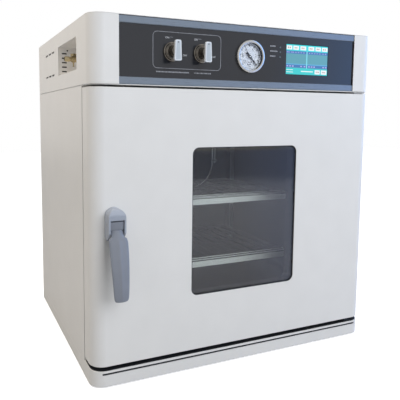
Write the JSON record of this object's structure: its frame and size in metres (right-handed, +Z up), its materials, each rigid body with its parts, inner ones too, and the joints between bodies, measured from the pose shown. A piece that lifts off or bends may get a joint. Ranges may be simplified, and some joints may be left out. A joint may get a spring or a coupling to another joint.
{
  "type": "vacuum drying oven",
  "caption": "Bench-top vacuum drying oven with a windowed swing door, lever latch, control head with gauge, valves and screen, and two slotted shelves.",
  "frame": {"origin": "middle of the box that holds the whole oven, at the soles of its feet", "axes": "+X to the viewer's right, +Y from the door to the back, +Z up"},
  "size_m": [0.664, 0.598, 0.703],
  "materials": {
    "white_enamel": "satin powder coat",
    "trim_aluminium": "satin anodised",
    "fascia_black": "gloss film on a black panel",
    "screen": "lit display behind glass",
    "lamp": "clear coloured lens",
    "handle_grey": "satin moulded",
    "stainless": "brushed",
    "zinc": "zinc plated",
    "chrome": "polished",
    "silver_plastic": "metallic satin",
    "brass": "machined",
    "rubber": "matte",
    "silicone": "matte",
    "window_glass": "clear, grey tinted",
    "vacuum_glass": "clear toughened",
    "gauge_glass": "clear",
    "dial_white": "printed enamel",
    "needle_black": "matte",
    "pcb_green": "solder mask",
    "wool": "mineral wool",
    "heater_orange": "silicone mat",
    "hose_tan": "vacuum hose",
    "black_plastic": "moulded",
    "rocker_red": "moulded"
  },
  "bodies": {
    "cabinet": {"base_tray": "white_enamel", "levelling_feet": "rubber", "left_side_panel": "white_enamel", "right_side_panel": "white_enamel", "rear_panel": "white_enamel", "front_frame": "white_enamel", "latch_strike": "zinc", "chamber": "stainless", "chamber_ribs": "zinc", "door_gasket": "silicone", "heater_mats": "heater_orange", "insulation_slabs": "wool", "cradle_posts": "zinc", "shelf_racks": "stainless", "temperature_probe": "stainless", "head_floor": "white_enamel", "head_left_side": "white_enamel", "head_right_side": "white_enamel", "head_top": "white_enamel", "head_rear": "white_enamel", "port_recess": "white_enamel", "vacuum_port": "brass", "trim_strips": "trim_aluminium", "control_fascia": "fascia_black", "touch_screen": "screen", "controller_board": "pcb_green", "indicator_lamps": "lamp", "gauge_case": "chrome", "gauge_dial": "dial_white", "gauge_glass": "gauge_glass", "valve_bodies": "brass", "valve_rings": "chrome", "vacuum_lines": "hose_tan", "power_supply": "zinc", "relay_heatsink": "zinc", "cable_gland": "black_plastic", "switch_housing": "black_plastic", "upper_hinge": "white_enamel", "lower_hinge": "white_enamel", "case_screws": "zinc"},
    "door": {"door_shell": "white_enamel", "door_liner": "stainless", "window_seal": "rubber", "window_pane": "window_glass", "window_tunnel": "white_enamel", "glass_carrier": "stainless", "vacuum_glass": "vacuum_glass", "glass_clips": "zinc", "hinge_blocks": "zinc", "handle_housing": "handle_grey", "handle_pin": "zinc", "latch_guide": "zinc"},
    "lever": {"handle_lever": "handle_grey"},
    "latch": {"latch_bar": "zinc"},
    "vacuum_knob": {"vacuum_knob": "silver_plastic"},
    "vent_knob": {"vent_knob": "silver_plastic"},
    "needle": {"gauge_needle": "needle_black"},
    "rocker": {"switch_rocker": "rocker_red"},
    "upper_shelf": {"upper_shelf": "stainless"},
    "lower_shelf": {"lower_shelf": "stainless"}
  },
  "joints": [
    {"name": "door_hinge", "type": "hinge", "parent": "cabinet", "child": "door", "pos_m": [0.318, -0.233, 0.307], "axis": [0, 0, 1], "range_deg": [0, 115]},
    {"name": "lever_pivot", "type": "hinge", "parent": "door", "child": "lever", "pos_m": [-0.29, -0.262, 0.321], "axis": [-1, 0, 0], "range_deg": [-10, 50]},
    {"name": "latch_slide", "type": "slide", "parent": "door", "child": "latch", "axis": [0, 0, 1], "range_m": [-0.0199, 0.0042]},
    {"name": "vacuum_valve_turn", "type": "hinge", "parent": "cabinet", "child": "vacuum_knob", "pos_m": [-0.1705, -0.249, 0.6405], "axis": [0, 1, 0], "range_deg": [0, 90]},
    {"name": "vent_valve_turn", "type": "hinge", "parent": "cabinet", "child": "vent_knob", "pos_m": [-0.107, -0.249, 0.6405], "axis": [0, 1, 0], "range_deg": [0, 90]},
    {"name": "needle_turn", "type": "hinge", "parent": "cabinet", "child": "needle", "pos_m": [0.0035, -0.249, 0.6405], "axis": [0, 1, 0], "range_deg": [-270, 0]},
    {"name": "rocker_tip", "type": "hinge", "parent": "cabinet", "child": "rocker", "pos_m": [0.165, 0.277, 0.6405], "axis": [1, 0, 0], "range_deg": [-14, 0]},
    {"name": "upper_shelf_slide", "type": "slide", "parent": "cabinet", "child": "upper_shelf", "axis": [0, -1, 0], "range_m": [0, 0.054]},
    {"name": "lower_shelf_slide", "type": "slide", "parent": "cabinet", "child": "lower_shelf", "axis": [0, -1, 0], "range_m": [0, 0.054]}
  ],
  "couplings": [
    {"joint": "latch_slide", "follows": "lever_pivot", "m_per_rad": -0.02246}
  ]
}
